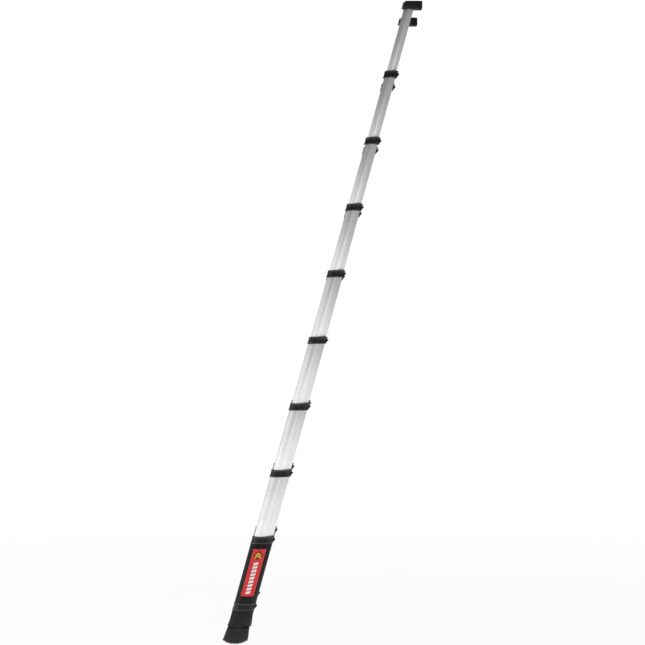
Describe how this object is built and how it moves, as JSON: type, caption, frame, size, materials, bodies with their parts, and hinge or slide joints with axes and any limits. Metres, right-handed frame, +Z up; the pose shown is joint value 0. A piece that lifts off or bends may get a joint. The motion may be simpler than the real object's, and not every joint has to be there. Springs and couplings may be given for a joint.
{
  "type": "telescoping ladder",
  "caption": "Telescoping leaning ladder of nested aluminium stile tubes with black collars, spring lock pins, grooved rungs, toothed rubber feet and wall caps.",
  "frame": {"origin": "on the floor, midway between the two feet", "axes": "+Z up, +X towards the wall that the ladder leans on, +Y towards the left stile of a climber who faces the wall; the right stile is at -Y"},
  "size_m": [0.8676, 0.4832, 2.7896],
  "materials": {
    "tube_aluminium": "bare extruded aluminium, satin",
    "rung_aluminium": "bare extruded aluminium, satin, grooved tread",
    "collar_plastic": "moulded glass-filled nylon, fine grain",
    "sleeve_plastic": "satin black sleeve",
    "socket_plastic": "moulded black plastic",
    "foot_rubber": "matt moulded rubber",
    "label_film": "printed vinyl film",
    "lock_plastic": "moulded plastic slider with a steel pin",
    "plug_plastic": "moulded plastic",
    "cap_plastic": "moulded black plastic",
    "bumper_rubber": "matt rubber"
  },
  "bodies": {
    "base": {"base_sleeves": "sleeve_plastic", "base_labels": "label_film", "bottom_brackets": "collar_plastic", "foot_sockets": "socket_plastic", "foot_soles": "foot_rubber", "rung_bottom": "rung_aluminium", "tubes_0": "tube_aluminium", "collars_0": "collar_plastic", "rung_0": "rung_aluminium"},
    "section_1": {"tubes_1": "tube_aluminium", "end_plugs_1": "plug_plastic", "collars_1": "collar_plastic", "rung_1": "rung_aluminium"},
    "section_2": {"tubes_2": "tube_aluminium", "end_plugs_2": "plug_plastic", "collars_2": "collar_plastic", "rung_2": "rung_aluminium"},
    "section_3": {"tubes_3": "tube_aluminium", "end_plugs_3": "plug_plastic", "collars_3": "collar_plastic", "rung_3": "rung_aluminium"},
    "section_4": {"tubes_4": "tube_aluminium", "end_plugs_4": "plug_plastic", "collars_4": "collar_plastic", "rung_4": "rung_aluminium"},
    "section_5": {"tubes_5": "tube_aluminium", "end_plugs_5": "plug_plastic", "collars_5": "collar_plastic", "rung_5": "rung_aluminium"},
    "section_6": {"tubes_6": "tube_aluminium", "end_plugs_6": "plug_plastic", "collars_6": "collar_plastic", "rung_6": "rung_aluminium"},
    "section_7": {"tubes_7": "tube_aluminium", "end_plugs_7": "plug_plastic", "collars_7": "collar_plastic", "rung_7": "rung_aluminium"},
    "section_8": {"tubes_8": "tube_aluminium", "end_plugs_8": "plug_plastic", "top_caps": "cap_plastic", "wall_bumpers": "bumper_rubber", "rung_top": "rung_aluminium"},
    "lock_0_left": {"latch_0_left": "lock_plastic"},
    "lock_0_right": {"latch_0_right": "lock_plastic"},
    "lock_1_left": {"latch_1_left": "lock_plastic"},
    "lock_1_right": {"latch_1_right": "lock_plastic"},
    "lock_2_left": {"latch_2_left": "lock_plastic"},
    "lock_2_right": {"latch_2_right": "lock_plastic"},
    "lock_3_left": {"latch_3_left": "lock_plastic"},
    "lock_3_right": {"latch_3_right": "lock_plastic"},
    "lock_4_left": {"latch_4_left": "lock_plastic"},
    "lock_4_right": {"latch_4_right": "lock_plastic"},
    "lock_5_left": {"latch_5_left": "lock_plastic"},
    "lock_5_right": {"latch_5_right": "lock_plastic"},
    "lock_6_left": {"latch_6_left": "lock_plastic"},
    "lock_6_right": {"latch_6_right": "lock_plastic"},
    "lock_7_left": {"latch_7_left": "lock_plastic"},
    "lock_7_right": {"latch_7_right": "lock_plastic"}
  },
  "joints": [
    {"name": "section_1_slide", "type": "slide", "parent": "base", "child": "section_1", "axis": [0.2656, 0, 0.9641], "range_m": [-0.266, 0]},
    {"name": "section_2_slide", "type": "slide", "parent": "section_1", "child": "section_2", "axis": [0.2656, 0, 0.9641], "range_m": [-0.266, 0]},
    {"name": "section_3_slide", "type": "slide", "parent": "section_2", "child": "section_3", "axis": [0.2656, 0, 0.9641], "range_m": [-0.266, 0]},
    {"name": "section_4_slide", "type": "slide", "parent": "section_3", "child": "section_4", "axis": [0.2656, 0, 0.9641], "range_m": [-0.266, 0]},
    {"name": "section_5_slide", "type": "slide", "parent": "section_4", "child": "section_5", "axis": [0.2656, 0, 0.9641], "range_m": [-0.266, 0]},
    {"name": "section_6_slide", "type": "slide", "parent": "section_5", "child": "section_6", "axis": [0.2656, 0, 0.9641], "range_m": [-0.266, 0]},
    {"name": "section_7_slide", "type": "slide", "parent": "section_6", "child": "section_7", "axis": [0.2656, 0, 0.9641], "range_m": [-0.266, 0]},
    {"name": "section_8_slide", "type": "slide", "parent": "section_7", "child": "section_8", "axis": [0.2656, 0, 0.9641], "range_m": [-0.266, 0]},
    {"name": "lock_0_left_slide", "type": "slide", "parent": "base", "child": "lock_0_left", "axis": [0, 1, 0], "range_m": [0, 0.008], "stiffness_N_per_m": 400, "springref_m": 0.01},
    {"name": "lock_0_right_slide", "type": "slide", "parent": "base", "child": "lock_0_right", "axis": [0, -1, 0], "range_m": [0, 0.008], "stiffness_N_per_m": 400, "springref_m": 0.01},
    {"name": "lock_1_left_slide", "type": "slide", "parent": "section_1", "child": "lock_1_left", "axis": [0, 1, 0], "range_m": [0, 0.008], "stiffness_N_per_m": 400, "springref_m": 0.01},
    {"name": "lock_1_right_slide", "type": "slide", "parent": "section_1", "child": "lock_1_right", "axis": [0, -1, 0], "range_m": [0, 0.008], "stiffness_N_per_m": 400, "springref_m": 0.01},
    {"name": "lock_2_left_slide", "type": "slide", "parent": "section_2", "child": "lock_2_left", "axis": [0, 1, 0], "range_m": [0, 0.008], "stiffness_N_per_m": 400, "springref_m": 0.01},
    {"name": "lock_2_right_slide", "type": "slide", "parent": "section_2", "child": "lock_2_right", "axis": [0, -1, 0], "range_m": [0, 0.008], "stiffness_N_per_m": 400, "springref_m": 0.01},
    {"name": "lock_3_left_slide", "type": "slide", "parent": "section_3", "child": "lock_3_left", "axis": [0, 1, 0], "range_m": [0, 0.008], "stiffness_N_per_m": 400, "springref_m": 0.01},
    {"name": "lock_3_right_slide", "type": "slide", "parent": "section_3", "child": "lock_3_right", "axis": [0, -1, 0], "range_m": [0, 0.008], "stiffness_N_per_m": 400, "springref_m": 0.01},
    {"name": "lock_4_left_slide", "type": "slide", "parent": "section_4", "child": "lock_4_left", "axis": [0, 1, 0], "range_m": [0, 0.008], "stiffness_N_per_m": 400, "springref_m": 0.01},
    {"name": "lock_4_right_slide", "type": "slide", "parent": "section_4", "child": "lock_4_right", "axis": [0, -1, 0], "range_m": [0, 0.008], "stiffness_N_per_m": 400, "springref_m": 0.01},
    {"name": "lock_5_left_slide", "type": "slide", "parent": "section_5", "child": "lock_5_left", "axis": [0, 1, 0], "range_m": [0, 0.008], "stiffness_N_per_m": 400, "springref_m": 0.01},
    {"name": "lock_5_right_slide", "type": "slide", "parent": "section_5", "child": "lock_5_right", "axis": [0, -1, 0], "range_m": [0, 0.008], "stiffness_N_per_m": 400, "springref_m": 0.01},
    {"name": "lock_6_left_slide", "type": "slide", "parent": "section_6", "child": "lock_6_left", "axis": [0, 1, 0], "range_m": [0, 0.008], "stiffness_N_per_m": 400, "springref_m": 0.01},
    {"name": "lock_6_right_slide", "type": "slide", "parent": "section_6", "child": "lock_6_right", "axis": [0, -1, 0], "range_m": [0, 0.008], "stiffness_N_per_m": 400, "springref_m": 0.01},
    {"name": "lock_7_left_slide", "type": "slide", "parent": "section_7", "child": "lock_7_left", "axis": [0, 1, 0], "range_m": [0, 0.008], "stiffness_N_per_m": 400, "springref_m": 0.01},
    {"name": "lock_7_right_slide", "type": "slide", "parent": "section_7", "child": "lock_7_right", "axis": [0, -1, 0], "range_m": [0, 0.008], "stiffness_N_per_m": 400, "springref_m": 0.01}
  ]
}
